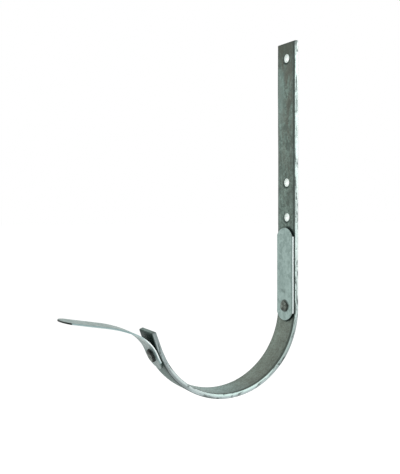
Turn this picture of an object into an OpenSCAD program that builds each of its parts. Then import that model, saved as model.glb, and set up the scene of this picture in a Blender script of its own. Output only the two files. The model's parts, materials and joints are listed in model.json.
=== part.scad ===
// Half-round gutter bracket: a galvanised flat bar bent to carry the gutter, with a sheet tab
// riveted at the back and another at the front that bend over the gutter's two edges.
//
// The origin is the centre of the half round, at mid width. +X points to the wall, +Z up and
// Y runs along the gutter.

/* [Bar] */
// Width of the flat bar
bar_w = 30; // [27:0.5:40]
// Thickness of the flat bar
bar_t = 5; // [3:0.25:6]
// Radius on the bar's two long edges on the gutter side
seat_edge_r = 0.8; // [0.2:0.1:1.2]
// Radius on the bar's two long edges on the other side
back_edge_r = 1.5; // [0.5:0.1:1.7]
// Inner radius of the half round that the gutter lies in
seat_r = 77; // [60:0.5:100]
// Angle through which the half round is bent
seat_sweep = 161; // [150:0.5:168]
// Straight length left at the front end, past the half round
front_straight = 14.5; // [8:0.5:24]
// Height of the leg's top above the centre of the half round
leg_h = 273.5; // [200:0.5:340]

/* [Screw holes] */
// Diameter of the three screw holes
screw_d = 8; // [5:0.25:9]
// Distance from the leg's top down to the upper hole
upper_hole_drop = 16; // [10:0.5:30]
// Distance from the rear tab's top up to the lowest hole
lower_hole_rise = 11; // [8:0.5:18]
// Distance between the two lower holes
lower_hole_pitch = 36; // [24:0.5:48]
// Height of the burr that the punch leaves round each hole on the gutter side
burr_h = 0.4; // [0.1:0.1:0.8]
// Width of that burr at its foot
burr_w = 1.0; // [0.5:0.1:2]
// Depth of the rolled edge round each hole on the wall side
roll_over = 0.4; // [0.1:0.1:0.8]

/* [Tabs] */
// Width of both sheet tabs
tab_w = 27; // [20:0.5:27]
// Thickness of both sheet tabs
tab_t = 2; // [1:0.1:3]
// Rise of the arc that rounds each end of the rear tab
rear_end_rise = 7.5; // [5:0.5:13]
// Rise of the arc that rounds each end of the front tab
front_end_rise = 9; // [5:0.5:13]
// Length of the rear tab above its rivet
rear_tab_length = 81; // [50:0.5:100]
// Length of each tab on the far side of its rivet
tab_tail_length = 14.5; // [12:0.5:20]
// Length of the front tab that lies on the bar past its rivet
front_tab_hold = 1; // [0:0.5:4]
// Inner radius of the front tab's sharper bend
front_bend_r = 38; // [20:1:60]
// Angle of the front tab's sharper bend
front_bend_angle = 41; // [20:1:60]
// Inner radius of the front tab's easy bend
front_curve_r = 130; // [80:5:200]
// Angle of the front tab's easy bend
front_curve_angle = 15; // [5:0.5:25]
// Length of the front tab past its bends, to the tip of its rounded end
front_tab_reach = 38.5; // [20:0.5:60]

/* [Rivets] */
// Diameter of the rivet shanks
rivet_d = 6; // [4:0.25:7]
// Diameter of the rivet heads, which sit on the tabs
rivet_head_d = 12; // [9:0.5:14]
// Height of the cone under the dome of a rivet head
rivet_rim_h = 1.8; // [0.8:0.1:2.4]
// Diameter of the flat top of that cone, where the dome starts
rivet_dome_d = 10; // [7:0.5:11]
// Height of the dome on a rivet head
rivet_dome_h = 0.8; // [0.3:0.1:1.4]
// Diameter of the countersunk tail where it is flush with the bar
rivet_tail_d = 10; // [8:0.25:11]
// Depth of the countersink in the bar
rivet_tail_h = 2; // [1:0.1:2.5]
// Radial clearance of a rivet in its holes
rivet_fit = 0.05; // [0.02:0.01:0.2]
// Height of the rear rivet above the centre of the half round
rear_rivet_h = 1; // [0:0.5:12]
// Distance along the bar from the front rivet to the front straight
front_setback_length = 7; // [4:0.5:14]

/* [Hidden] */
$fn = 96;

// Distance by which a cut runs clear of a face
cut = 1;

// The straight front end laps into the half round, a hair smaller so that no two faces coincide
front_lap = 0.5;
front_inset = 0.01;

// Angle of one flat step in the bends of the front tab
bend_step = 1.5;

// Radius of the bar's outer face round the half round
outer_r = seat_r + bar_t;

// Sheet and bar that one rivet holds together
grip = bar_t + tab_t;

// Heights of the rear tab's top and of the three screw holes
rear_tab_top = rear_rivet_h + rear_tab_length;
lower_hole_h = rear_tab_top + lower_hole_rise;
screw_heights = [lower_hole_h, lower_hole_h + lower_hole_pitch, leg_h - upper_hole_drop];

// Directions that look out of the half round, as angles above +X: at the front rivet, where the
// front tab leaves the bar, after its sharper bend and after its easy bend
rivet_dir = degrees(front_setback_length, seat_r) - seat_sweep;
leave_dir = rivet_dir - degrees(front_tab_hold, outer_r);
curve_dir = leave_dir + front_bend_angle;
straight_dir = curve_dir + front_curve_angle;

// The flat steps of the front tab clear the bar's round face
lying_r = outer_r / cos(bend_step / 2);

// Centres of the front tab's two bends, and the foot of the rounded end at its tip
bend_centre = (lying_r + tab_t + front_bend_r) * ray(leave_dir);
curve_centre = bend_centre + (front_curve_r - front_bend_r) * ray(curve_dir);
front_foot = curve_centre - (front_curve_r + tab_t) * ray(straight_dir)
    + (front_tab_reach - front_end_rise) * ray(straight_dir - 90);

bar_colour = [0.44, 0.47, 0.44];
tab_colour = [0.60, 0.66, 0.63];
rivet_colour = [0.33, 0.35, 0.33];

// Angle that a length takes up along an arc
function degrees(length, r) = length / r * 180 / PI;

// Direction in the XZ plane at an angle above +X
function ray(angle) = [cos(angle), sin(angle)];

// Points along an arc in the XZ plane, in flat steps
function arc(centre, r, from, to) =
    let(steps = ceil(abs(to - from) / bend_step))
    [for (i = [0:steps]) centre + r * ray(from + (to - from) * i / steps)];

// Cross-section of the flat bar, with its inner face on x = 0
module bar_section(inset = 0) {
    half_w = bar_w / 2;
    side_t = bar_t - seat_edge_r - back_edge_r;
    translate([seat_edge_r, inset - half_w]) square([side_t, bar_w - 2 * inset]);
    translate([inset, seat_edge_r - half_w])
        square([seat_edge_r + side_t - inset, bar_w - 2 * seat_edge_r]);
    translate([seat_edge_r, back_edge_r - half_w])
        square([side_t + back_edge_r - inset, bar_w - 2 * back_edge_r]);
    for (side = [-1, 1]) {
        translate([seat_edge_r, side * (half_w - seat_edge_r)]) circle(r = seat_edge_r - inset);
        translate([bar_t - back_edge_r, side * (half_w - back_edge_r)])
            circle(r = back_edge_r - inset);
    }
}

// Sweeps a section about the Y axis, from +X down through an angle
module sweep_down(angle) {
    rotate([90, 0, 0]) rotate_extrude(angle = angle, start = -angle) children();
}

// Gives an outline in the XZ plane a width along Y, centred on the plane
module across(width) {
    rotate([90, 0, 0]) linear_extrude(width, center = true) children();
}

// Stands an outline up in the YZ plane and gives it a thickness along +X
module upright(thickness) {
    rotate([90, 0, 90]) linear_extrude(thickness) children();
}

// Everything on the gutter's side of a line that follows the bar, outward from its inner face
module gutter_side(outward) {
    across(bar_w + 2 * cut) {
        circle(r = seat_r + outward);
        square([seat_r + outward, leg_h]);
    }
}

// Turns +X from the wall to another direction in the XZ plane
module facing(direction) {
    rotate([0, -direction, 0]) children();
}

// Rounded end of a tab: its foot is on y = 0 and its tip at y = rise
module tab_end(rise) {
    end_r = (pow(tab_w / 2, 2) + pow(rise, 2)) / (2 * rise);
    intersection() {
        translate([-tab_w / 2, 0]) square([tab_w, rise]);
        translate([0, rise - end_r]) circle(r = end_r);
    }
}

// What is sheared off a square end of the front tab to round it, from its foot on y = 0
module sheared_corners() {
    difference() {
        translate([-tab_w / 2 - cut, 0]) square([tab_w + 2 * cut, front_end_rise + 2 * cut]);
        tab_end(front_end_rise);
    }
}

// Outline of the rear tab laid flat, from its lower tip to its upper tip
module rear_tab_outline(low, high) {
    translate([-tab_w / 2, low + rear_end_rise]) square([tab_w, high - low - 2 * rear_end_rise]);
    translate([0, high - rear_end_rise]) tab_end(rear_end_rise);
    translate([0, low + rear_end_rise]) mirror([0, 1]) tab_end(rear_end_rise);
}

// Burr round a screw hole; the leg's inner face is on x = 0
module screw_burr() {
    rotate([0, -90, 0]) cylinder(d1 = screw_d + 2 * burr_w, d2 = screw_d + burr_w, h = burr_h);
}

// Screw hole with the rolled edge on its wall side; the leg's inner face is on x = 0
module screw_bore() {
    rolled = roll_over + cut;
    translate([-burr_h - cut, 0, 0]) rotate([0, 90, 0])
        cylinder(d = screw_d, h = burr_h + bar_t + 2 * cut);
    translate([bar_t - roll_over, 0, 0]) rotate([0, 90, 0])
        cylinder(d1 = screw_d, d2 = screw_d + 2 * rolled, h = rolled);
}

// Rivet axes, with +Z from the head's seat on the tab to the flush tail in the bar
module on_rear_axis() {
    translate([seat_r - tab_t, 0, rear_rivet_h]) rotate([0, 90, 0]) children();
}

module on_front_axis() {
    facing(rivet_dir) translate([outer_r + tab_t, 0, 0]) rotate([0, -90, 0]) children();
}

// Head on the tab side, with a skirt that its tab trims to a true seat
module rivet_head() {
    dome_r = (pow(rivet_dome_d / 2, 2) + pow(rivet_dome_h, 2)) / (2 * rivet_dome_h);
    cylinder(d = rivet_head_d, h = tab_t / 2);
    translate([0, 0, -rivet_rim_h]) cylinder(d1 = rivet_dome_d, d2 = rivet_head_d, h = rivet_rim_h);
    translate([0, 0, -rivet_rim_h]) intersection() {
        translate([0, 0, dome_r - rivet_dome_h]) sphere(r = dome_r);
        translate([0, 0, -rivet_dome_h]) cylinder(d = rivet_dome_d, h = rivet_dome_h);
    }
}

// Shank and countersunk tail, with room all round, run on past the bar's face
module rivet_shank(room = 0) {
    flare = (rivet_tail_d - rivet_d) / rivet_tail_h;
    cylinder(d = rivet_d + 2 * room, h = grip);
    translate([0, 0, grip - rivet_tail_h]) cylinder(
        d1 = rivet_d + 2 * room,
        d2 = rivet_tail_d + flare * cut + 2 * room,
        h = rivet_tail_h + cut
    );
}

// Hole that a rivet fills in its tab and the bar
module rivet_hole() {
    translate([0, 0, -cut]) cylinder(d = rivet_d + 2 * rivet_fit, h = grip);
    rivet_shank(rivet_fit);
}

// Rear tab before its hole: flat on the leg, with its lower end following the half round
module rear_tab_blank() {
    intersection() {
        union() {
            translate([seat_r - tab_t, -tab_w / 2, 0]) cube([tab_t, tab_w, rear_tab_top]);
            sweep_down(90) translate([seat_r - tab_t, -tab_w / 2]) square([tab_t, tab_w]);
        }
        upright(seat_r) rear_tab_outline(rear_rivet_h - tab_tail_length, rear_tab_top);
    }
}

// Side profile of the front tab: it lies on the bar, bends away from it past the rivet, runs out
// in an easy curve and ends straight. Its ends run on past the rounded outline.
module front_tab_profile() {
    tail_dir = rivet_dir + degrees(tab_tail_length + cut, outer_r);
    tip = front_foot + (front_end_rise + cut) * ray(straight_dir - 90);
    polygon(concat(
        arc([0, 0], lying_r, tail_dir, leave_dir),
        arc(bend_centre, front_bend_r + tab_t, leave_dir + 180, curve_dir + 180),
        arc(curve_centre, front_curve_r + tab_t, curve_dir + 180, straight_dir + 180),
        [tip, tip + tab_t * ray(straight_dir)],
        arc(curve_centre, front_curve_r, straight_dir + 180, curve_dir + 180),
        arc(bend_centre, front_bend_r, curve_dir + 180, leave_dir + 180),
        arc([0, 0], lying_r + tab_t, leave_dir, tail_dir)
    ));
}

// Front tab before its hole
module front_tab_blank() {
    difference() {
        across(tab_w) front_tab_profile();
        facing(rivet_dir) translate([outer_r - cut, 0, tab_tail_length - front_end_rise])
            upright(grip) sheared_corners();
        translate([front_foot.x, 0, front_foot.y]) facing(straight_dir) mirror([0, 0, 1])
            translate([-cut, 0, 0]) upright(grip) sheared_corners();
    }
}

module strap() {
    color(bar_colour) difference() {
        union() {
            linear_extrude(leg_h) translate([seat_r, 0]) bar_section();
            sweep_down(seat_sweep) translate([seat_r, 0]) bar_section();
            facing(-seat_sweep) translate([seat_r, 0, -front_straight])
                linear_extrude(front_straight + front_lap) bar_section(front_inset);
            for (z = screw_heights) translate([seat_r, 0, z]) screw_burr();
        }
        for (z = screw_heights) translate([seat_r, 0, z]) screw_bore();
        on_rear_axis() rivet_hole();
        on_front_axis() rivet_hole();
    }
}

module rear_tab() {
    color(tab_colour) difference() {
        rear_tab_blank();
        on_rear_axis() rivet_hole();
    }
}

module front_tab() {
    color(tab_colour) difference() {
        front_tab_blank();
        on_front_axis() rivet_hole();
    }
}

module rear_rivet() {
    color(rivet_colour) {
        difference() {
            on_rear_axis() rivet_head();
            rear_tab_blank();
        }
        intersection() {
            on_rear_axis() rivet_shank();
            gutter_side(bar_t);
        }
    }
}

module front_rivet() {
    color(rivet_colour) {
        difference() {
            on_front_axis() rivet_head();
            front_tab_blank();
        }
        difference() {
            on_front_axis() rivet_shank();
            gutter_side(0);
        }
    }
}

strap();
rear_tab();
front_tab();
rear_rivet();
front_rivet();
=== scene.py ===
"""Looks of the half-round gutter bracket: a galvanised flat bar with two sheet tabs riveted to it.

Bar and tabs are first laid out flat, in metres: s along the piece, y across it, and h out of the
bar's gutter-side face or of the face by which a tab lies on the bar. Each is then bent along a line
in the XZ plane."""

import json
import math
import random

import bpy
import numpy as np
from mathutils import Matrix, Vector, noise
from mathutils.geometry import delaunay_2d_cdt


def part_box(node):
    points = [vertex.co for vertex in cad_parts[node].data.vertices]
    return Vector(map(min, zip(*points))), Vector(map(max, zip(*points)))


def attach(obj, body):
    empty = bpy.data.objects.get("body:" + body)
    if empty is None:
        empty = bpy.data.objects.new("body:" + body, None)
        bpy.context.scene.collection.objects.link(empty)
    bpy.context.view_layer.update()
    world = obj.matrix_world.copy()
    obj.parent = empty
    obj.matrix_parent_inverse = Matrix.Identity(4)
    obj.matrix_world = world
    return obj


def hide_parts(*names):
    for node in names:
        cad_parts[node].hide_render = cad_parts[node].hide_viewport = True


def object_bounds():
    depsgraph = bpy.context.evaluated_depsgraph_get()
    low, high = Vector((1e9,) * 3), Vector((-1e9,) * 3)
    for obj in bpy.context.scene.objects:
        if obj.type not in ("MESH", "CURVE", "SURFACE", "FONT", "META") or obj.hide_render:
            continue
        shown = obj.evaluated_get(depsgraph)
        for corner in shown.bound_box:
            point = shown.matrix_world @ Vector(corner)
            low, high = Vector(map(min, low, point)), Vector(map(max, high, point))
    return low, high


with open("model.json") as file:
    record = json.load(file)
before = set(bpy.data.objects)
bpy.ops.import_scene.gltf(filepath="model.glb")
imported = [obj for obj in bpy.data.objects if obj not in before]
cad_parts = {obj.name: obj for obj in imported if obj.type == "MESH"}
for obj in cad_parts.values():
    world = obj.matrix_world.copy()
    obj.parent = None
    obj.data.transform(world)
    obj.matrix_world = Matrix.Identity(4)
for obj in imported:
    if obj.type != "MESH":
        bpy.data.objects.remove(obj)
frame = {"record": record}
cad_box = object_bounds()
mounts = {mount["name"]: mount for mount in frame["record"]["mounts"]}

MM = 0.001
DEGREE = math.pi / 180

# The bar, from the frame where that gives it
strap_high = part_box("strap")[1]
BAR_T = 5 * MM
BAR_HALF_W = strap_high.y
OUTER_R = strap_high.x
SEAT_R = OUTER_R - BAR_T
LEG_H = strap_high.z
SEAT_SWEEP = 161 * DEGREE
FRONT_STRAIGHT = 14.5 * MM

# The sheet tabs
TAB_T = 2 * MM
TAB_HALF_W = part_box("rear_tab")[1].y + 0.2 * MM
# How far each end falls back at its corners: at the tail and at the tip, far side and near side
REAR_RISES = (8 * MM, 9.2 * MM), (7.6 * MM, 9.4 * MM)
FRONT_RISES = (9 * MM, 9 * MM), (9 * MM, 9 * MM)
TAB_TAIL = 15.2 * MM
REAR_TAB_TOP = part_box("rear_tab")[1].z

# The screw holes and rivets
SCREW_R = mounts["upper_hole"]["dims"]["r_mm"] * MM
PAIR_HALF_PITCH = mounts["lower_holes"]["dims"]["spacing_y_mm"] * MM / 2
SCREW_HEIGHTS = [
    mounts["upper_hole"]["pos_m"][2],
    mounts["lower_holes"]["pos_m"][2] + PAIR_HALF_PITCH,
    mounts["lower_holes"]["pos_m"][2] - PAIR_HALF_PITCH,
]
RIVET_R = 3 * MM
HEAD_R = 6 * MM
TAIL_R = 5 * MM
TAIL_DEPTH = 2 * MM
RIVET_ROOM = 0.06 * MM
REAR_RIVET_Z = 1 * MM
FRONT_RIVET_BACK = 8 * MM
RIVET_DIR = FRONT_RIVET_BACK / SEAT_R - SEAT_SWEEP

# Places along the bar: where the half round starts, its two rivets and its front end
ROUND_S = LEG_H
REAR_RIVET_S = LEG_H - REAR_RIVET_Z
FRONT_RIVET_S = LEG_H - SEAT_R * RIVET_DIR
FRONT_END_S = ROUND_S + SEAT_R * SEAT_SWEEP + FRONT_STRAIGHT

# The bar's waviness starts at a random place unless it is seeded
noise.seed_set(5)


# ---------------------------------------------------------------- lines that the pieces follow


def ray(angle):
    """Direction in the XZ plane at an angle above +X."""
    return np.array([math.cos(angle), math.sin(angle)])


class Line:
    """A line in the XZ plane, made of straights and arcs. Each run is its length and how far it
    turns to the left. Its out side is its left side."""

    def __init__(self, start, heading, runs):
        self.runs = []
        s, place = 0.0, np.array(start, float)
        for length, turn in runs:
            self.runs.append((s, length, turn, place, heading))
            place = self.along(self.runs[-1], np.array([length]), np.zeros(1))[0]
            s += length
            heading += turn
        self.length = s

    @staticmethod
    def along(run, u, h):
        """Points at u along one run and h out of it."""
        _, length, turn, place, heading = run
        if turn == 0:
            return place + u[:, None] * ray(heading) + h[:, None] * ray(heading + math.pi / 2)
        bend_r = length / turn
        centre = place + bend_r * ray(heading + math.pi / 2)
        angle = heading + turn * u / length - math.pi / 2
        spoke = np.stack([np.cos(angle), np.sin(angle)], 1)
        return centre + (bend_r - h)[:, None] * spoke

    def bend(self, flat):
        """Places in the frame of points given as (s, y, h)."""
        s, y, h = flat.T
        place = np.zeros((len(flat), 3))
        place[:, 1] = y
        for i, run in enumerate(self.runs):
            here = s >= run[0] if i else s > -1
            if i + 1 < len(self.runs):
                here = here & (s < self.runs[i + 1][0])
            place[np.ix_(here, [0, 2])] = self.along(run, s[here] - run[0], h[here])
        return place


BAR_LINE = Line(
    (SEAT_R, LEG_H),
    -math.pi / 2,
    [(ROUND_S, 0), (SEAT_R * SEAT_SWEEP, -SEAT_SWEEP), (FRONT_STRAIGHT, 0)],
)

# The front tab lies on the bar's outer face, bends away past its rivet and runs out nearly straight
TAIL_DIR = RIVET_DIR + TAB_TAIL / OUTER_R
HOLD = 1.5 * MM
SHARP_R, SHARP_TURN = 41.7 * MM, 42.35 * DEGREE
EASY_R, EASY_TURN = 123 * MM, 13 * DEGREE
FRONT_REACH = 41.6 * MM
FRONT_LINE = Line(
    OUTER_R * ray(TAIL_DIR),
    TAIL_DIR - math.pi / 2,
    [
        (TAB_TAIL + HOLD, -(TAB_TAIL + HOLD) / OUTER_R),
        (SHARP_R * SHARP_TURN, SHARP_TURN),
        (EASY_R * EASY_TURN, EASY_TURN),
        (FRONT_REACH, 0),
    ],
)


# ---------------------------------------------------------------- flat outlines


def stretch(a, b, step):
    """Points from a up to but not b, about a step apart."""
    a, b = np.array(a, float), np.array(b, float)
    n = max(1, round(np.linalg.norm(b - a) / step))
    return [a + (b - a) * i / n for i in range(n)]


def bar_outline(length, half_w, step, clear):
    """The bar's rectangle, with room at its corners to move the outline inwards."""
    places = (0, -half_w), (length, -half_w), (length, half_w), (0, half_w)
    corners = [np.array(place, float) for place in places]
    points = []
    for a, b in zip(corners, corners[1:] + corners[:1]):
        room = clear * (b - a) / np.linalg.norm(b - a)
        points += [a] + stretch(a + room, b - room, step) + [b - room]
    return np.array(points)


def end_radius(rise):
    """Radius of an arc that falls back by rise at a tab's side."""
    return (TAB_HALF_W**2 + rise**2) / (2 * rise)


def tab_end(rises, step):
    """An arc across a tab's end for each side of its tip, as (distance from the tip, y)."""
    points = []
    for rise, side in zip(rises, (-1, 1)):
        end_r = end_radius(rise)
        reach = math.asin(TAB_HALF_W / end_r)
        n = round(reach * end_r / step)
        turns = [reach * (1 - i / n) if side < 0 else reach * i / n for i in range(n)]
        points += [(end_r - end_r * math.cos(a), side * end_r * math.sin(a)) for a in turns]
    return points


def tab_outline(length, rises, step):
    """A strip with rounded ends."""
    tail, tip = rises
    points = stretch((tail[0], -TAB_HALF_W), (length - tip[0], -TAB_HALF_W), step)
    points += [np.array([length - u, y]) for u, y in tab_end(tip, step)]
    points += stretch((length - tip[1], TAB_HALF_W), (tail[1], TAB_HALF_W), step)
    points += [np.array([u, -y]) for u, y in tab_end(tail[::-1], step)]
    return np.array(points)


def shrink(points, inset):
    """A closed outline moved inwards."""
    edge = np.roll(points, -1, 0) - points
    edge /= np.linalg.norm(edge, axis=1)[:, None]
    inward = np.stack([-edge[:, 1], edge[:, 0]], 1)
    before = np.roll(inward, 1, 0)
    share = 1 + (inward * before).sum(1)
    return points + inset * (inward + before) / share[:, None]


def inside(points, outline):
    """Whether each point is inside a closed outline."""
    hit = np.zeros(len(points), bool)
    for a, b in zip(outline, np.roll(outline, -1, 0)):
        crosses = (a[1] > points[:, 1]) != (b[1] > points[:, 1])
        if a[1] != b[1]:
            at = a[0] + (points[:, 1] - a[1]) * (b[0] - a[0]) / (b[1] - a[1])
            hit ^= crosses & (points[:, 0] < at)
    return hit


# ---------------------------------------------------------------- plates


def rounded_rim(thickness, low_r, high_r, bow):
    """The rim's section as (inset, h), from the h = 0 face over the side to the other face."""
    n = 6
    turns = [math.pi / 2 * i / n for i in range(n + 1)]
    low = [(low_r * (1 - math.sin(a)), low_r * (1 - math.cos(a))) for a in turns]
    high = [(high_r * (1 - math.cos(a)), thickness - high_r * (1 - math.sin(a))) for a in turns]
    straight = high[0][1] - low[-1][1]
    between = [(0, low[-1][1] + straight * i / 5) for i in (1, 2, 3, 4)]
    return [(inset + bow * (2 * h / thickness - 1) ** 2, h) for inset, h in low + between + high]


def circle(centre, r, n, wander=0.0):
    """Points round a hole, which is a little out of round where wander isn't 0."""
    turns = [2 * math.pi * i / n for i in range(n)]
    radii = [
        r * (1 + wander * noise.noise(Vector((math.cos(a), math.sin(a), centre[0] * 70))))
        for a in turns
    ]
    return np.array(
        [(centre[0] + q * math.cos(a), centre[1] + q * math.sin(a)) for a, q in zip(turns, radii)]
    )


def triangles(outer, holes, step):
    """New points spread over a face, and its triangles, with outer and holes as closed outlines."""
    loops = [outer] + holes
    low, high = outer.min(0), outer.max(0)
    rows = np.arange(low[1] + step / 2, high[1], step * math.sqrt(0.75))
    grid = np.array(
        [
            (s + (step / 2 if row % 2 else 0), y)
            for row, y in enumerate(rows)
            for s in np.arange(low[0] + step / 2, high[0], step)
        ]
    )
    keep = inside(grid, shrink(outer, 0.6 * step))
    for hole in holes:
        centre = hole.mean(0)
        hole_r = np.linalg.norm(hole - centre, axis=1).max()
        keep &= np.linalg.norm(grid - centre, axis=1) > hole_r + 0.6 * step
    grid = grid[keep]
    edges, first = [], 0
    for loop in loops:
        n = len(loop)
        edges += [(first + i, first + (i + 1) % n) for i in range(n)]
        first += n
    points = np.concatenate(loops + [grid])
    in_mm = [Vector(p / MM) for p in points]
    _, _, corners, origins, _, _ = delaunay_2d_cdt(in_mm, edges, [], 0, 1e-6)
    faces = np.array([[origins[i][0] for i in face] for face in corners])
    middles = points[faces].mean(1)
    keep = inside(middles, outer)
    for hole in holes:
        keep &= ~inside(middles, hole)
    return grid, faces[keep].tolist()


class Shell:
    """Points and faces of a closed mesh, gathered block by block."""

    def __init__(self):
        self.points, self.faces, self.count = [], [], 0

    def add(self, points):
        """Adds points and gives their numbers."""
        self.points.append(points)
        self.count += len(points)
        return list(range(self.count - len(points), self.count))

    def loft(self, loops):
        """Joins closed loops of equally many points."""
        for a, b in zip(loops, loops[1:]):
            for i in range(len(a)):
                j = (i + 1) % len(a)
                self.faces.append((a[i], a[j], b[j], b[i]))

    def all_points(self):
        return np.concatenate(self.points)


def level(points, h):
    """Flat points lifted to a height."""
    return np.column_stack([points, np.full(len(points), h)])


def plate(outline, rim, holes, step):
    """A plate with a rim and through holes. Each hole is its centre, its section as (r, h) from
    the h = 0 face to the other, and how far out of round it is."""
    shell = Shell()
    rings = [shell.add(level(shrink(outline, inset), h)) for inset, h in rim]
    shell.loft(rings)
    walls = []
    for centre, section, wander in holes:
        around = round(2 * math.pi * section[0][0] / (0.45 * MM))
        wall = [shell.add(level(circle(centre, r, around, wander), h)) for r, h in section]
        shell.loft(wall)
        walls.append(wall)
    for end, h in ((0, rim[0][1]), (-1, rim[-1][1])):
        flat = shell.all_points()[:, :2]
        loops = [rings[end]] + [wall[end] for wall in walls]
        grid, faces = triangles(flat[loops[0]], [flat[loop] for loop in loops[1:]], step)
        numbers = sum(loops, []) + shell.add(level(grid, h))
        shell.faces += [tuple(numbers[i] for i in face) for face in faces]
    return shell


# ---------------------------------------------------------------- from flat to mesh


def smooth(x, low, high):
    """0 below low, 1 above high, and an easy curve between."""
    t = np.clip((x - low) / (high - low), 0, 1)
    return t * t * (3 - 2 * t)


def fade(x, low, high):
    """1 below low, 0 above high, and an easy curve between."""
    return 1 - smooth(x, low, high)


def uneven(places):
    """The slow waviness of hand-bent bar, and the flat it got where the front tab was riveted. It
    depends on the place alone, so what touches moves alike."""
    away = np.linalg.norm(places[:, [0, 2]] - OUTER_R * ray(RIVET_DIR), axis=1)
    push = 0.6 * MM * np.exp(-((away / (22 * MM)) ** 2))
    inwards = np.array([0.94, 0, 0.34])
    places = places + push[:, None] * inwards
    wave, height = 1 / (26 * MM), 0.14 * MM
    return np.array([p + np.array(noise.noise_vector(Vector(p * wave))) * height for p in places])


def make_mesh(name, places, faces, marks):
    """A smooth-shaded object. marks are numbers for each point that its material reads."""
    mesh = bpy.data.meshes.new(name)
    mesh.from_pydata([tuple(p) for p in places], [], faces)
    for mark, values in marks.items():
        kind = "FLOAT_VECTOR" if values.ndim == 2 else "FLOAT"
        layer = mesh.attributes.new(mark, kind, "POINT")
        layer.data.foreach_set("vector" if values.ndim == 2 else "value", values.ravel())
    piece = bpy.data.objects.new(name, mesh)
    bpy.context.scene.collection.objects.link(piece)
    bpy.context.view_layer.objects.active = piece
    for other in bpy.context.selected_objects:
        other.select_set(False)
    piece.select_set(True)
    bpy.ops.object.mode_set(mode="EDIT")
    bpy.ops.mesh.select_all(action="SELECT")
    bpy.ops.mesh.normals_make_consistent(inside=False)
    bpy.ops.object.mode_set(mode="OBJECT")
    bpy.ops.object.shade_smooth()
    mesh.set_sharp_from_angle(angle=50 * DEGREE)
    return piece


def stand_in(piece, node, material):
    """Puts a finished piece in a CAD node's place."""
    piece.data.materials.append(material)
    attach(piece, "root")
    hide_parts(node)
    return piece


# ---------------------------------------------------------------- materials


class Nodes:
    """Short names for the shader nodes that the materials are made of."""

    def __init__(self, name):
        self.material = bpy.data.materials.new(name)
        self.material.use_nodes = True
        self.tree = self.material.node_tree
        self.shader = self.tree.nodes["Principled BSDF"]

    def add(self, kind, **settings):
        node = self.tree.nodes.new(kind)
        for key, value in settings.items():
            setattr(node, key, value)
        return node

    def link(self, value, socket):
        """Feeds a socket from an output, or sets it to a plain value."""
        if isinstance(value, bpy.types.NodeSocket):
            self.tree.links.new(value, socket)
        else:
            socket.default_value = value

    def mark(self, name):
        """What the mesh says at each point."""
        return self.add("ShaderNodeAttribute", attribute_name=name)

    def maths(self, operation, *values):
        node = self.add("ShaderNodeMath", operation=operation)
        for value, socket in zip(values, node.inputs):
            self.link(value, socket)
        return node.outputs[0]

    def product(self, *values):
        total = values[0]
        for value in values[1:]:
            total = self.maths("MULTIPLY", total, value)
        return total

    def mixed(self, *parts):
        """A sum of outputs, each with its share."""
        total = None
        for value, share in parts:
            part = self.product(value, share)
            total = part if total is None else self.maths("ADD", total, part)
        return total

    def stretched(self, vector, scale):
        node = self.add("ShaderNodeVectorMath", operation="MULTIPLY")
        self.link(vector, node.inputs[0])
        node.inputs[1].default_value = scale
        return node.outputs[0]

    def cloud(self, vector, scale, detail=3, roughness=0.55):
        node = self.add("ShaderNodeTexNoise")
        self.link(vector, node.inputs["Vector"])
        node.inputs["Scale"].default_value = scale
        node.inputs["Detail"].default_value = detail
        node.inputs["Roughness"].default_value = roughness
        return node.outputs["Fac"]

    def spangle(self, vector, scale):
        """A random shade for each crystal of the zinc."""
        node = self.add("ShaderNodeTexVoronoi", feature="F1")
        self.link(vector, node.inputs["Vector"])
        node.inputs["Scale"].default_value = scale
        split = self.add("ShaderNodeSeparateColor")
        self.link(node.outputs["Color"], split.inputs[0])
        return split.outputs[0]

    def ramp(self, value, low, high, to_low=0.0, to_high=1.0):
        """to_low below low, to_high above high, and an easy curve between."""
        node = self.add("ShaderNodeMapRange", interpolation_type="SMOOTHSTEP")
        self.link(value, node.inputs["Value"])
        node.inputs["From Min"].default_value = low
        node.inputs["From Max"].default_value = high
        node.inputs["To Min"].default_value = to_low
        node.inputs["To Max"].default_value = to_high
        return node.outputs[0]

    def blend(self, share, a, b):
        """A colour that goes from a to b with share."""
        node = self.add("ShaderNodeMix", data_type="RGBA")
        self.link(share, node.inputs[0])
        for value, socket in ((a, node.inputs[6]), (b, node.inputs[7])):
            self.link(value if isinstance(value, bpy.types.NodeSocket) else (*value, 1), socket)
        return node.outputs[2]

    def bump(self, height, distance):
        node = self.add("ShaderNodeBump")
        self.link(height, node.inputs["Height"])
        node.inputs["Distance"].default_value = distance
        node.inputs["Strength"].default_value = 1.0
        self.link(node.outputs[0], self.shader.inputs["Normal"])


# Linear colours of the zinc
ZINC_DARK, ZINC_LIGHT = (0.086, 0.121, 0.103), (0.190, 0.268, 0.232)
# Painted light for the half round's inner face, where it looks up
ZINC_LIT_ABOVE = (0.265, 0.385, 0.36)
ZINC_BLUE = (0.200, 0.285, 0.258)
ZINC_OLIVE = (0.182, 0.206, 0.170)
ZINC_WARM = (0.098, 0.102, 0.080)
# Painted shade for the outer face of the half round
ZINC_UNDER_SHADE = (0.038, 0.084, 0.070)
SPECK = (0.105, 0.112, 0.082)
SOOT = (0.060, 0.070, 0.052)
# Painted shade towards the near side
SHADE = (0.06, 0.075, 0.065)
NEAR_LINE, FAR_LINE = (0.035, 0.048, 0.041), (0.04, 0.055, 0.046)
STAIN, DULL = (0.12, 0.14, 0.13), (0.12, 0.15, 0.14)
WORN = (0.085, 0.105, 0.098)
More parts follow.
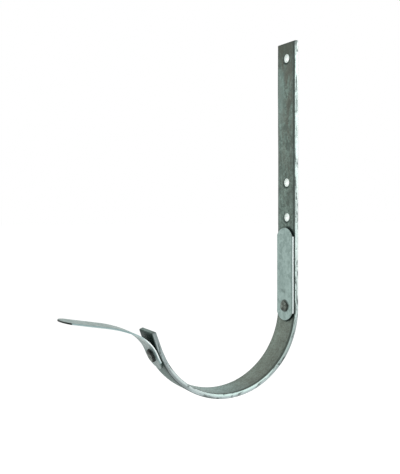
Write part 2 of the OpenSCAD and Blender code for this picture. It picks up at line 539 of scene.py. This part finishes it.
# Colours of the bar's sides: paler than the faces as a painted highlight, and on the half round darker away
# from the gutter as painted shade
SIDE_IN_LEG, SIDE_IN_ROUND = (0.50, 0.62, 0.59), (0.62, 0.78, 0.74)
SIDE_IN_RISE, SIDE_IN_FRONT = (0.50, 0.58, 0.57), (0.30, 0.36, 0.36)
SIDE_OUT_LEG, SIDE_OUT_ROUND = (0.56, 0.64, 0.61), (0.39, 0.46, 0.46)
SIDE_SHADED, SIDE_END = (0.23, 0.27, 0.27), (0.13, 0.155, 0.148)
# Dark colours for dirt and painted shade together
BAR_DIRT_AND_SHADE = (0.008, 0.023, 0.018)
# Near white for the screw holes' walls: painted light
HOLE_WALL_LIT = (0.8, 0.86, 0.83)
SHEET_DARK, SHEET_LIGHT = (0.225, 0.308, 0.285), (0.315, 0.420, 0.392)
SHEET_LINE, SHEET_GRIME = (0.12, 0.16, 0.145), (0.108, 0.154, 0.144)
# Tab sides: a plain tone, and a near white painted highlight
SHEET_SIDE, SHEET_SIDE_HIGHLIGHT = (0.235, 0.345, 0.345), (0.92, 0.98, 0.96)
SHEET_DIRT_AND_SHADE = (0.006, 0.010, 0.008)
RIVET_DARK, RIVET_LIGHT = (0.084, 0.098, 0.083), (0.205, 0.246, 0.216)
RIVET_DIRT_AND_SHADE = (0.006, 0.008, 0.007)
ZINC_METALLIC = 0.75


def flat_marks(nodes):
    """The flat coordinates that the mesh carries, whole and as s, y, |y| and h."""
    flat = nodes.mark("flat").outputs["Vector"]
    split = nodes.add("ShaderNodeSeparateXYZ")
    nodes.link(flat, split.inputs[0])
    s, y, h = split.outputs
    return flat, s, y, nodes.maths("ABSOLUTE", y), h


def bar_stains_and_shade(nodes, flat, s, y, h, colour):
    """Stains on the bar's faces in some places, and painted shade: darker towards the near side, and darker
    on the outer face from near the half round's bottom to the front end.
    """
    warm = nodes.product(
        nodes.ramp(s, 20 * MM, 210 * MM, 0.75, 0.0),
        nodes.ramp(nodes.cloud(nodes.stretched(flat, (1, 3, 1)), 45, 2), 0.42, 0.6),
    )
    colour = nodes.blend(warm, colour, ZINC_WARM)
    blue = nodes.product(
        nodes.ramp(y, -1 * MM, 9 * MM, 0.0, 0.5),
        nodes.ramp(s, 18 * MM, 34 * MM),
        nodes.ramp(s, 50 * MM, 110 * MM, 1.0, 0.15),
    )
    colour = nodes.blend(blue, colour, ZINC_BLUE)
    colour = nodes.blend(nodes.ramp(s, 5 * MM, 38 * MM, 0.75, 0.0), colour, SOOT)
    # Painted shade: darker towards the near side, all along the bar
    colour = nodes.blend(nodes.ramp(y, -11 * MM, 7 * MM, 0.28, 0.0), colour, SHADE)
    # Painted shade: the outer face from near the half round's bottom to the front end, which faces down and
    # near the front end lies under the front tab
    under_shade = nodes.product(
        nodes.ramp(h, 3.6 * MM, 4.2 * MM),
        nodes.ramp(s, ROUND_S + 80 * MM, ROUND_S + 125 * MM, 0.0, 0.9),
    )
    return nodes.blend(under_shade, colour, ZINC_UNDER_SHADE)


def bar_face(nodes, flat, s, y, h, mottle):
    """The bar's broad faces: mottled and stained, painted lighter as painted light where the half round's
    inner face looks up, and with dark lines beside the edges.
    """
    colour = nodes.blend(nodes.ramp(mottle, 0.42, 0.60), ZINC_DARK, ZINC_LIGHT)
    # Painted light: from near the half round's bottom to the front end the faces are painted lighter, where
    # the inner face looks up to the light
    lit_above = nodes.ramp(s, ROUND_S + 85 * MM, ROUND_S + 130 * MM, 0.0, 0.72)
    colour = nodes.blend(lit_above, colour, ZINC_LIT_ABOVE)
    olive = nodes.product(
        nodes.ramp(s, ROUND_S - 30 * MM, ROUND_S + 20 * MM, 0.0, 0.6),
        nodes.ramp(s, ROUND_S + 80 * MM, ROUND_S + 120 * MM, 1.0, 0.0),
    )
    colour = nodes.blend(olive, colour, ZINC_OLIVE)
    specks = nodes.product(
        nodes.ramp(nodes.cloud(flat, 520, 3, 0.65), 0.53, 0.63),
        nodes.ramp(s, ROUND_S - 20 * MM, ROUND_S + 20 * MM, 0.55, 0.95),
    )
    colour = bar_stains_and_shade(nodes, flat, s, y, h, nodes.blend(specks, colour, SPECK))
    ragged = nodes.product(nodes.ramp(nodes.cloud(flat, 260, 3), 0.3, 0.6, -0.4, 0.4), MM)
    ragged_y = nodes.maths("ADD", y, ragged)
    near_line = nodes.ramp(ragged_y, 2.5 * MM - BAR_HALF_W, 4.1 * MM - BAR_HALF_W, 0.78, 0.0)
    colour = nodes.blend(near_line, colour, NEAR_LINE)
    far_line = nodes.ramp(y, BAR_HALF_W - 2.2 * MM, BAR_HALF_W - 0.9 * MM, 0.0, 0.6)
    return nodes.blend(far_line, colour, FAR_LINE)


def bar_side(nodes, flat, s, h):
    """The bar's two long sides, painted paler than its faces as a painted highlight: one tone next to the
    gutter, another away from it, which on the half round is painted darker as painted shade.
    """
    down = nodes.ramp(s, ROUND_S - 40 * MM, ROUND_S + 40 * MM)
    inner = nodes.blend(down, SIDE_IN_LEG, SIDE_IN_ROUND)
    stained = nodes.product(
        nodes.ramp(s, ROUND_S - 126 * MM, ROUND_S - 114 * MM, 0.0, 0.4),
        nodes.ramp(s, ROUND_S - 94 * MM, ROUND_S - 82 * MM, 1.0, 0.0),
    )
    inner = nodes.blend(stained, inner, STAIN)
    inner = nodes.blend(nodes.ramp(s, ROUND_S + 125 * MM, ROUND_S + 160 * MM), inner, SIDE_IN_RISE)
    inner = nodes.blend(nodes.ramp(s, ROUND_S + 188 * MM, ROUND_S + 202 * MM), inner, SIDE_IN_FRONT)
    outer = nodes.blend(down, SIDE_OUT_LEG, SIDE_OUT_ROUND)
    shaded = nodes.product(
        nodes.ramp(s, ROUND_S + 158 * MM, ROUND_S + 172 * MM),
        nodes.ramp(s, ROUND_S + 194 * MM, ROUND_S + 206 * MM, 1.0, 0.0),
    )
    outer = nodes.blend(shaded, outer, SIDE_SHADED)
    colour = nodes.blend(nodes.ramp(h, 1.6 * MM, 3.2 * MM), inner, outer)
    dulled = nodes.product(
        nodes.ramp(s, ROUND_S + 2 * MM, ROUND_S + 24 * MM, 0.0, 0.52),
        nodes.ramp(s, ROUND_S + 50 * MM, ROUND_S + 86 * MM, 1.0, 0.0),
    )
    colour = nodes.blend(dulled, colour, DULL)
    at_end = nodes.ramp(s, FRONT_END_S - 24 * MM, FRONT_END_S - 4 * MM, 0.0, 0.45)
    colour = nodes.blend(at_end, colour, SIDE_END)
    rubs = nodes.cloud(nodes.stretched(flat, (0.3, 1, 1.6)), 210, 4, 0.65)
    return nodes.blend(nodes.ramp(rubs, 0.52, 0.6, 0.0, 0.85), colour, WORN)


def bar_zinc():
    """Dull hot-dip zinc, mottled, with its cut sides painted paler as a painted highlight, and dirt and
    painted shade in one dark mark.
    """
    nodes = Nodes("bar_zinc")
    flat, s, y, across, h = flat_marks(nodes)
    grain = nodes.cloud(flat, 900, 2, 0.7)
    streaks = nodes.cloud(nodes.stretched(flat, (0.14, 1, 1)), 330, 3)
    mottle = nodes.mixed(
        (nodes.cloud(flat, 75, 4), 0.35), (streaks, 0.25), (grain, 0.28), (nodes.spangle(flat, 420), 0.12)
    )
    side = nodes.product(
        nodes.ramp(across, BAR_HALF_W - 0.55 * MM, BAR_HALF_W - 0.25 * MM),
        nodes.ramp(h, 0.15 * MM, 0.6 * MM),
    )
    colour = nodes.blend(side, bar_face(nodes, flat, s, y, h, mottle), bar_side(nodes, flat, s, h))
    # Dirt, and painted shade beside the tabs and under the front tab, in one dark mark
    colour = nodes.blend(nodes.product(nodes.mark("dirt_and_shade").outputs["Fac"], 0.97), colour, BAR_DIRT_AND_SHADE)
    # The screw holes' walls are painted near white: painted light, as lit as the near side
    colour = nodes.blend(nodes.mark("wall").outputs["Fac"], colour, HOLE_WALL_LIT)
    nodes.link(colour, nodes.shader.inputs["Base Color"])
    nodes.shader.inputs["Metallic"].default_value = ZINC_METALLIC
    dull = nodes.maths("SUBTRACT", nodes.ramp(mottle, 0.3, 0.7, 0.6, 0.45), nodes.product(side, 0.1))
    nodes.link(dull, nodes.shader.inputs["Roughness"])
    nodes.bump(grain, 0.05 * MM)
    return nodes.material


def tab_zinc():
    """Cleaner zinc on sheet, with faint streaks along it and a painted highlight on its sides."""
    nodes = Nodes("tab_zinc")
    flat, _, y, across, _ = flat_marks(nodes)
    grain = nodes.cloud(flat, 900, 2, 0.7)
    streaks = nodes.cloud(nodes.stretched(flat, (0.16, 1, 1)), 260, 3)
    mottle = nodes.mixed((streaks, 0.4), (nodes.cloud(flat, 130, 3), 0.35), (nodes.spangle(flat, 350), 0.25))
    colour = nodes.blend(nodes.ramp(mottle, 0.34, 0.66), SHEET_DARK, SHEET_LIGHT)
    near_line = nodes.ramp(y, 1.4 * MM - TAB_HALF_W, 3.4 * MM - TAB_HALF_W, 0.5, 0.0)
    colour = nodes.blend(near_line, colour, SHEET_LINE)
    far_line = nodes.ramp(y, TAB_HALF_W - 1.2 * MM, TAB_HALF_W, 0.0, 0.35)
    colour = nodes.blend(far_line, colour, SHEET_LINE)
    colour = nodes.blend(nodes.mark("grime").outputs["Fac"], colour, SHEET_GRIME)
    side = nodes.ramp(across, TAB_HALF_W - 0.4 * MM, TAB_HALF_W - 0.2 * MM)
    # The sides: a plain tone, with a near white painted highlight where the mesh marks it
    side_highlight = nodes.blend(nodes.mark("side_highlight").outputs["Fac"], SHEET_SIDE, SHEET_SIDE_HIGHLIGHT)
    colour = nodes.blend(side, colour, side_highlight)
    # Dirt on the ends and in smudges, and painted shade round the rivet's head, in one dark mark
    colour = nodes.blend(nodes.product(nodes.mark("dirt_and_shade").outputs["Fac"], 0.99), colour, SHEET_DIRT_AND_SHADE)
    nodes.link(colour, nodes.shader.inputs["Base Color"])
    nodes.shader.inputs["Metallic"].default_value = ZINC_METALLIC
    nodes.link(nodes.ramp(mottle, 0.3, 0.7, 0.5, 0.36), nodes.shader.inputs["Roughness"])
    nodes.bump(grain, 0.03 * MM)
    return nodes.material


def rivet_zinc():
    """Dark, hammered, with spots where the hammer rubbed it."""
    nodes = Nodes("rivet_zinc")
    flat = nodes.mark("flat").outputs["Vector"]
    patches = nodes.cloud(flat, 420, 3)
    colour = nodes.blend(nodes.ramp(patches, 0.42, 0.66), RIVET_DARK, RIVET_LIGHT)
    # The head's dark side, and painted shade across its top, in one dark mark
    colour = nodes.blend(nodes.product(nodes.mark("dirt_and_shade").outputs["Fac"], 0.98), colour, RIVET_DIRT_AND_SHADE)
    nodes.link(colour, nodes.shader.inputs["Base Color"])
    nodes.shader.inputs["Metallic"].default_value = ZINC_METALLIC
    nodes.link(nodes.ramp(patches, 0.4, 0.7, 0.6, 0.42), nodes.shader.inputs["Roughness"])
    nodes.bump(nodes.cloud(flat, 1500, 2, 0.7), 0.08 * MM)
    return nodes.material


# ---------------------------------------------------------------- the pieces


# Each screw hole's height and its y, off the middle towards the near side
HOLES = list(zip(SCREW_HEIGHTS, (-1.3 * MM, -1.4 * MM, -1.8 * MM)))
# How far below that height it was punched, how much larger its radius is, and how uneven
HOLE_DROP = 0.2 * MM
HOLE_SPARE = 0.15 * MM
HOLE_WANDER = 0.03

# Nicks beside the rear tab and above it, that show: s and h, in millimetres
NICKS = [
    (231, 3.0),
    (235.5, 1.4),
    (268.6, 3.2),
    (162, 2.0),
    (180.5, 1.2),
    (186, 2.6),
    (38, 1.8),
    (213, 2.2),
]

# Scratches along the leg's near side: from s, to s and h, in millimetres, and how dark
SCRATCHES = [
    (33, 52, 2.4, 0.75),
    (46, 76, 2.9, 0.9),
    (60, 76, 1.7, 0.7),
    (89, 101, 2.8, 0.85),
    (118, 131, 1.8, 0.7),
]

# Smudges on the rear tab: how far above its rivet and to the near side, and their spread along and
# across it, in millimetres
SMUDGES = [(15.8, -3, 0.9, 2.4), (14.4, -0.5, 0.8, 1.6)]


def hole_s(height):
    """A screw hole's place along the bar."""
    return LEG_H - height + HOLE_DROP


def screw_hole(height, aside):
    """A punched hole, a little out of round: burr on the gutter side, rolled edge on the other."""
    burr_h = 0.4 * MM
    section = [
        (SCREW_R + 1.15 * MM, 0),
        (SCREW_R + 0.85 * MM, -0.5 * burr_h),
        (SCREW_R + 0.5 * MM, -burr_h),
        (SCREW_R + 0.2 * MM, -0.9 * burr_h),
        (SCREW_R, -0.4 * burr_h),
        (SCREW_R, BAR_T / 2),
        (SCREW_R, BAR_T - 0.5 * MM),
        (SCREW_R + 0.12 * MM, BAR_T - 0.2 * MM),
        (SCREW_R + 0.4 * MM, BAR_T),
    ]
    return (hole_s(height), aside), [(r + HOLE_SPARE, h) for r, h in section], HOLE_WANDER


def countersink(s, tail_h):
    """A rivet's hole in the bar, sunk from the face at tail_h."""
    wide, narrow = TAIL_R + RIVET_ROOM, RIVET_R + RIVET_ROOM
    section = [(wide, 0), (narrow, TAIL_DEPTH), (narrow, BAR_T)]
    if tail_h > 0:
        section = [(r, BAR_T - h) for r, h in reversed(section)]
    return (s, 0), section, 0


def nicks(seed, count, length):
    """Small dents in the bar's long sides, each as (s, side, h, size, depth): first those that
    show, and then up to count more, 3 mm or more from any other on the same side."""
    dents = [(s * MM, -1, h * MM, 1.0 * MM, 0.3 * MM) for s, h in NICKS]
    rng = random.Random(seed)
    for _ in range(count):
        at, side, h = rng.uniform(0, length), rng.choice((-1, 1)), rng.uniform(0, BAR_T)
        size, depth = rng.uniform(0.6, 1.9) * MM, rng.uniform(0.1, 0.35) * MM
        if all(side != other[1] or abs(at - other[0]) > 3 * MM for other in dents):
            dents.append((at, side, h, size, depth))
    return dents


def push_in(flat, dents, half_w):
    """Pushes the dents in, and gives how deep in one each point is, from 0 to 1."""
    deep = np.zeros(len(flat))
    for at, side, h, size, depth in dents:
        near = np.exp(-(((flat[:, 0] - at) / size) ** 2) - ((flat[:, 2] - h) / size) ** 2)
        near *= smooth(side * flat[:, 1], half_w - 2 * MM, half_w)
        flat[:, 1] -= side * depth * near
        deep = np.maximum(deep, near * depth / (0.35 * MM))
    return deep


def round_end(s, y, tip, rise, way, spread):
    """1 beside a tab's rounded end and 0 away from it, least on the far side. way is 1 where the
    tab lies at larger s than its tip, and -1 where it lies at smaller."""
    inward = way * (s - tip)
    outside = np.hypot(inward - end_radius(rise), y) - end_radius(rise)
    there = (outside > -0.6 * MM) * (inward < rise + 0.8 * MM)
    by_side = 0.3 + 0.7 * smooth(-y, -3 * MM, 4 * MM)
    return fade(outside, spread, spread + 0.9 * MM) * there * by_side


def hole_marks(s, y):
    """Darkening beside the screw holes, off centre towards larger s and y, and which points are in them."""
    dirt_and_shade, wall = np.zeros(len(s)), np.zeros(len(s))
    for height, aside in HOLES:
        ds, dy = s - hole_s(height), y - aside
        from_off_centre = np.hypot(ds - 0.9 * MM, dy - 1.3 * MM)
        dirt_and_shade = np.maximum(dirt_and_shade, 0.88 * fade(from_off_centre, SCREW_R + 0.6 * MM, SCREW_R + 2.2 * MM))
        # Which points are in a screw hole's wall, whose colour is painted near white as painted light
        wall = np.maximum(wall, smooth(SCREW_R + 0.3 * MM - np.hypot(ds, dy), 0, 0.1 * MM))
    return dirt_and_shade, wall


def tab_shadows(s, y, on_seat, on_back):
    """Painted shadow on the bar in the crevices beside the two tabs and round their ends."""
    tab_top, tab_foot = LEG_H - REAR_TAB_TOP, REAR_RIVET_S + TAB_TAIL
    crevice = smooth(np.abs(y), TAB_HALF_W - 0.2 * MM, TAB_HALF_W + 0.3 * MM)
    beside = smooth(s, tab_top, tab_top + 6 * MM)
    beside *= fade(s, REAR_RIVET_S + 9 * MM, REAR_RIVET_S + 15 * MM)
    top = round_end(s, y, tab_top, REAR_RISES[1][1], 1, 1.5 * MM)
    foot = round_end(s, y, tab_foot, REAR_RISES[0][1], -1, 0.8 * MM)
    at_rear = np.maximum(0.72 * crevice * beside, 0.95 * np.maximum(top, foot))
    at_front = 0.6 * round_end(s, y, FRONT_RIVET_S - TAB_TAIL, FRONT_RISES[0][0], 1, 0.1 * MM)
    return np.maximum(at_rear * on_seat, at_front * on_back)


def scratch_marks(s, y, h):
    """Dark scratches along the leg's near side."""
    dark = np.zeros(len(s))
    near_side = y < 0.3 * MM - BAR_HALF_W
    for low, high, across, amount in SCRATCHES:
        along = smooth(s, low * MM, (low + 4) * MM) * fade(s, (high - 4) * MM, high * MM)
        line = np.exp(-(((h - across * MM) / (0.5 * MM)) ** 2))
        dark = np.maximum(dark, amount * along * line * near_side)
    return dark


def bar_marks(flat, dented):
    """Where the bar has dirt and painted shade, and which points are in the screw holes."""
    s, y, h = flat.T
    on_seat, on_back = h < 0.6 * MM, h > BAR_T - 1.2 * MM
    beside_holes, wall = hole_marks(s, y)
    dents = 0.75 * smooth(dented, 0.35, 0.8)
    # Painted shade on the outer face under the front tab, on to the front end
    front_tab_shade = smooth(s, FRONT_RIVET_S - 17 * MM, FRONT_RIVET_S - 9 * MM) * on_back
    dirt_and_shade = [
        np.maximum(dents, beside_holes * on_seat) * (1 - wall),
        tab_shadows(s, y, on_seat, on_back),
        scratch_marks(s, y, h),
        0.8 * front_tab_shade,
        0.85 * fade(s, 0.5 * MM, 1.1 * MM),
        0.45 * smooth(s, FRONT_END_S - 0.5 * MM, FRONT_END_S),
    ]
    return {"flat": flat, "dirt_and_shade": np.maximum.reduce(dirt_and_shade), "wall": wall}


def build_bar():
    """The bar, with its top end sheared a little wide and askew."""
    holes = [screw_hole(*hole) for hole in HOLES]
    holes += [countersink(REAR_RIVET_S, BAR_T), countersink(FRONT_RIVET_S, 0)]
    rim = rounded_rim(BAR_T, 0.7 * MM, 1.3 * MM, 0.12 * MM)
    shell = plate(bar_outline(FRONT_END_S, BAR_HALF_W, 1 * MM, 2.1 * MM), rim, holes, 1 * MM)
    flat = shell.all_points()
    dented = push_in(flat, nicks(4, 90, FRONT_END_S), BAR_HALF_W)
    marks = bar_marks(flat.copy(), dented)
    flat[:, 1] += 0.5 * MM * smooth(flat[:, 1], 0, BAR_HALF_W) * fade(flat[:, 0], 30 * MM, 150 * MM)
    flat[:, 0] -= 0.03 * (flat[:, 1] + BAR_HALF_W) * fade(flat[:, 0], 0, 30 * MM)
    piece = make_mesh("bar", uneven(BAR_LINE.bend(flat)), shell.faces, marks)
    return stand_in(piece, "strap", bar_zinc())


def tab_shell(length, rises):
    """A flat tab with a rounded rim and its rivet's hole."""
    rivet_hole = (TAB_TAIL, 0), [(RIVET_R + RIVET_ROOM, 0), (RIVET_R + RIVET_ROOM, TAB_T)], 0
    rim = rounded_rim(TAB_T, 0.15 * MM, 0.3 * MM, 0.03 * MM)
    return plate(tab_outline(length, rises, 0.8 * MM), rim, [rivet_hole], 0.8 * MM)


def tab_marks(flat, length, rises, tail_dirt, smudges=(), grime=0.0):
    """Painted shade round the rivet's head, and dirt on the sheared ends and in smudges. Grime dulls
    the riveted end, and the sides get a painted highlight."""
    s, y, h = flat.T
    upper = h > TAB_T / 2
    away = np.hypot(s - TAB_TAIL, y)
    # Painted shade on the tab round the rivet's head
    dirt_and_shade = 0.5 * np.exp(-(((away - HEAD_R - 0.2 * MM) / (0.6 * MM)) ** 2)) * upper
    rim = (h > 0.02 * MM) & (h < TAB_T - 0.05 * MM)
    tail, tip = [np.where(y < 0, *end) for end in rises]
    end = tail_dirt * fade(s, tail - 0.8 * MM, tail)
    end += 0.95 * smooth(s, length - tip, length - tip + 0.8 * MM)
    dirt_and_shade = np.maximum(dirt_and_shade, end * rim)
    for above, aside, long, wide in smudges:
        ds, dy = s - TAB_TAIL - above * MM, y - aside * MM
        near = np.exp(-((ds / (long * MM)) ** 2) - (dy / (wide * MM)) ** 2)
        dirt_and_shade = np.maximum(dirt_and_shade, 0.42 * near * upper)
    grimy = grime * upper * fade(s, TAB_TAIL + 14 * MM, TAB_TAIL + 34 * MM)
    # Painted highlight along the sides, fading out at the edge of the face away from the bar
    side_highlight = 0.78 * fade(h, TAB_T - 0.3 * MM, TAB_T - 0.1 * MM)
    return {"flat": flat, "dirt_and_shade": dirt_and_shade, "side_highlight": side_highlight, "grime": grimy}


def front_tab_marks(flat):
    """As on any tab, but with a painted highlight on the sides, strong where it lies on the bar and
    less in its free part, which is duller, and dark along the inside of its tip."""
    marks = tab_marks(flat, FRONT_LINE.length, FRONT_RISES, tail_dirt=0.3, grime=0.75)
    s, y, h = flat.T
    past = s - TAB_TAIL
    near_bar = (0.3 + 0.7 * smooth(s, 8 * MM, 16 * MM)) * fade(past, 14 * MM, 30 * MM)
    near_bar *= fade(h, 1.0 * MM, 1.5 * MM)
    leaving = smooth(past, 8 * MM, 20 * MM) * fade(past, 28 * MM, 42 * MM)
    hanging = smooth(past, 36 * MM, 56 * MM) * smooth(h, 0.7 * MM, 1.2 * MM)
    # Painted highlight on the sides: strong where the tab lies on the bar, faint where it leaves and in its
    # free part
    marks["side_highlight"] = np.maximum.reduce([near_bar, 0.24 * leaving, 0.25 * hanging])
    marks["grime"] = np.maximum(marks["grime"], 0.32 * smooth(past, 30 * MM, 52 * MM))
    tip_rise = FRONT_RISES[1][0]
    tip_r = end_radius(tip_rise)
    inset = tip_r - np.hypot(s - FRONT_LINE.length + tip_r, y)
    lip = (s > FRONT_LINE.length - tip_rise) * fade(inset, 0.8 * MM, 1.8 * MM) * (h < 0.2 * MM)
    marks["dirt_and_shade"] = np.maximum(marks["dirt_and_shade"], 0.5 * lip)
    return marks


def build_rear_tab(material):
    """Flat on the leg, drawn from its lower end up. Its lower end follows the half round."""
    length = TAB_TAIL + REAR_TAB_TOP - REAR_RIVET_Z
    shell = tab_shell(length, REAR_RISES)
    flat = shell.all_points()
    marks = tab_marks(flat, length, REAR_RISES, tail_dirt=0.95, smudges=SMUDGES)
    marks["flat"] = np.column_stack([flat[:, 0], -flat[:, 1], flat[:, 2]])
    on_bar = np.column_stack([REAR_RIVET_S + TAB_TAIL - flat[:, 0], -flat[:, 1], -flat[:, 2]])
    piece = make_mesh("rear_sheet_tab", uneven(BAR_LINE.bend(on_bar)), shell.faces, marks)
    return stand_in(piece, "rear_tab", material)


def build_front_tab(material):
    """Bent out by hand, a little thinned and twisted in its free part."""
    shell = tab_shell(FRONT_LINE.length, FRONT_RISES)
    flat = shell.all_points()
    marks = front_tab_marks(flat.copy())
    s, y = flat[:, 0], flat[:, 1]
    flat[:, 2] *= 1 - 0.25 * smooth(s, TAB_TAIL - 3 * MM, TAB_TAIL + 11 * MM)
    flat[:, 2] -= 0.02 * y * smooth(s, TAB_TAIL + 15 * MM, TAB_TAIL + 60 * MM)
    piece = make_mesh("front_sheet_tab", uneven(FRONT_LINE.bend(flat)), shell.faces, marks)
    return stand_in(piece, "front_tab", material)


def hammered_head(rng, head_r, head_h):
    """A hammered head as two functions: its radius at a turn, and its height at a place."""
    flats = [(rng.uniform(0, 2 * math.pi), rng.uniform(0.88, 1.02)) for _ in range(7)]
    blows = [(rng.uniform(0, 2 * math.pi), rng.uniform(0.04, 0.2), rng.uniform(0.85, 1)) for _ in range(9)]

    def reach(turn):
        return head_r * min([1.04] + [d / max(math.cos(turn - a), 0.05) for a, d in flats])

    def height(u, v):
        dome = head_h * (1 - 0.25 * (u * u + v * v) / head_r**2)
        return min([dome] + [head_h * d - k * (u * math.cos(a) + v * math.sin(a)) for a, k, d in blows])

    return reach, height


def rivet_shell(reach, height, sooty):
    """A rivet from the middle of its tail to the middle of its head, which stands on h = 0, and how
    dirty each of its points is."""
    shell, loops, dirt_and_shade = Shell(), [], []
    around = 64
    turns = [2 * math.pi * i / around for i in range(around)]

    def ring(radius, level_at, grime):
        spots = [(radius(t) * math.cos(t), radius(t) * math.sin(t)) for t in turns]
        loops.append(shell.add(np.array([(u, v, level_at(u, v)) for u, v in spots])))
        dirt_and_shade.extend([grime] * around)

    tail = -BAR_T - TAB_T
    for share in (0.04, 0.5, 0.96, 1.0):
        ring(lambda t: TAIL_R * share, lambda u, v: tail + (0.05 * MM if share < 1 else 0.12 * MM), 0)
    for h in (tail + TAIL_DEPTH, -0.1 * MM):
        ring(lambda t: RIVET_R, lambda u, v: h, 1)
    ring(reach, lambda u, v: -0.3 * MM, 0.9 * sooty)
    ring(lambda t: 1.01 * reach(t), lambda u, v: 0.3 * height(u, v), 0.85 * sooty)
    for share in (0.98, 0.95, 0.91, 0.85, 0.76, 0.64, 0.5, 0.36, 0.22, 0.08):
        sag = 0.66 + 0.34 * float(smooth(1 - share, 0, 0.11))
        grime = sooty * float(fade(1 - share, 0.08, 0.26))
        ring(lambda t: share * reach(t), lambda u, v: sag * height(u, v), grime)
    shell.loft(loops)
    shell.faces += [tuple(loops[0]), tuple(loops[-1])]
    return shell, np.array(dirt_and_shade)


def build_rivet(name, node, s, head_out, seed, head_r, head_h, sooty, material):
    """A rivet at s along the bar. head_out is 1 where its head looks out of the half round, and -1
    where it looks in. sooty is how black its head's side is, and how dark the painted shade on its top."""
    reach, height = hammered_head(random.Random(seed), head_r, head_h)
    shell, dirt_and_shade = rivet_shell(reach, height, sooty)
    flat = shell.all_points()
    foot = TAB_T + BAR_T if head_out > 0 else -TAB_T
    on_bar = np.column_stack([np.full(len(flat), s), flat[:, 1], foot + head_out * flat[:, 2]])
    place = BAR_LINE.bend(on_bar)
    behind, ahead = BAR_LINE.bend(np.array([[s - MM, 0, 0], [s + MM, 0, 0]]))
    place += flat[:, :1] * (ahead - behind) / np.linalg.norm(ahead - behind)
    # Painted shade: a dark patch across the head's top towards larger s and the near side
    shaded = sooty * smooth(flat[:, 0] - 0.3 * flat[:, 1], 0.15 * head_r, 0.75 * head_r)
    dirt_and_shade = np.maximum(dirt_and_shade, shaded * (flat[:, 2] > 0))
    piece = make_mesh(name, uneven(place), shell.faces, {"flat": flat, "dirt_and_shade": dirt_and_shade})
    return stand_in(piece, node, material)


# ---------------------------------------------------------------- stage, lights and camera


def by_ray(tree, socket, as_seen, as_light):
    """Feeds a strength that is one number to rays that see it, straight or in gloss or glass, and
    another to light."""
    path = tree.nodes.new("ShaderNodeLightPath")
    seen = path.outputs["Is Camera Ray"]
    for kind in ("Is Glossy Ray", "Is Transmission Ray"):
        either = tree.nodes.new("ShaderNodeMath")
        either.operation = "MAXIMUM"
        tree.links.new(seen, either.inputs[0])
        tree.links.new(path.outputs[kind], either.inputs[1])
        seen = either.outputs[0]
    share = tree.nodes.new("ShaderNodeMapRange")
    tree.links.new(seen, share.inputs["Value"])
    share.inputs["To Min"].default_value = as_light
    share.inputs["To Max"].default_value = as_seen
    tree.links.new(share.outputs[0], socket)


def build_world():
    world = bpy.data.worlds.new("studio")
    bpy.context.scene.world = world
    world.use_nodes = True
    background = world.node_tree.nodes["Background"]
    background.inputs["Color"].default_value = (1, 1, 1, 1)
    by_ray(world.node_tree, background.inputs["Strength"], 1.0, 0.7)


def build_floor():
    """A pale floor below the bracket, which hangs clear of it as it does on a wall."""
    drop, half = 0.3, 30.0
    mesh = bpy.data.meshes.new("floor")
    z = cad_box[0][2] - drop
    corners = [(-half, -half, z), (half, -half, z), (half, half, z), (-half, half, z)]
    mesh.from_pydata(corners, [], [(0, 1, 2, 3)])
    floor = bpy.data.objects.new("floor", mesh)
    bpy.context.scene.collection.objects.link(floor)
    nodes = Nodes("floor_white")
    nodes.shader.inputs["Base Color"].default_value = (0.9, 0.9, 0.9, 1)
    nodes.shader.inputs["Roughness"].default_value = 1.0
    nodes.shader.inputs["Specular IOR Level"].default_value = 0.0
    nodes.shader.inputs["Emission Color"].default_value = (1, 1, 1, 1)
    by_ray(nodes.tree, nodes.shader.inputs["Emission Strength"], 0.4, 0.0)
    mesh.materials.append(nodes.material)


def softbox(name, place, aim, size, power):
    """A square area lamp that looks at aim."""
    lamp = bpy.data.lights.new(name, "AREA")
    lamp.shape = "SQUARE"
    lamp.size = size
    lamp.energy = power
    holder = bpy.data.objects.new(name, lamp)
    holder.location = place
    holder.rotation_euler = (Vector(aim) - Vector(place)).to_track_quat("-Z", "Y").to_euler()
    bpy.context.scene.collection.objects.link(holder)


def build_lights():
    middle = (0, 0, 0.08)
    softbox("key", (1.2, -1.1, 0.6), middle, 0.8, 7)
    softbox("side", (-1.2, 0.9, 0.5), middle, 0.7, 2)
    softbox("top", (-0.2, 0.0, 1.4), middle, 0.8, 5)


def build_camera():
    """Level, to the left of the bar's edge, as the photograph was taken."""
    camera = bpy.data.cameras.new("camera")
    camera.lens = 50.457
    camera.shift_y = -0.0457
    holder = bpy.data.objects.new("camera", camera)
    holder.location = (-0.32504, -0.56793, 0.09482)
    holder.rotation_euler = (math.pi / 2, 0, -27.908 * DEGREE)
    bpy.context.scene.collection.objects.link(holder)
    bpy.context.scene.camera = holder


build_bar()
sheet = tab_zinc()
build_rear_tab(sheet)
build_front_tab(sheet)
hammered = rivet_zinc()
build_rivet(
    "rear_hammered_rivet",
    "rear_rivet",
    REAR_RIVET_S,
    head_out=-1,
    seed=3,
    head_r=5.8 * MM,
    head_h=2.4 * MM,
    sooty=0.6,
    material=hammered,
)
build_rivet(
    "front_hammered_rivet",
    "front_rivet",
    FRONT_RIVET_S,
    head_out=1,
    seed=8,
    head_r=6.5 * MM,
    head_h=3.2 * MM,
    sooty=0.95,
    material=hammered,
)
build_world()
build_floor()
build_lights()
build_camera()
bpy.context.scene.view_settings.view_transform = "Standard"

bpy.context.view_layer.update()
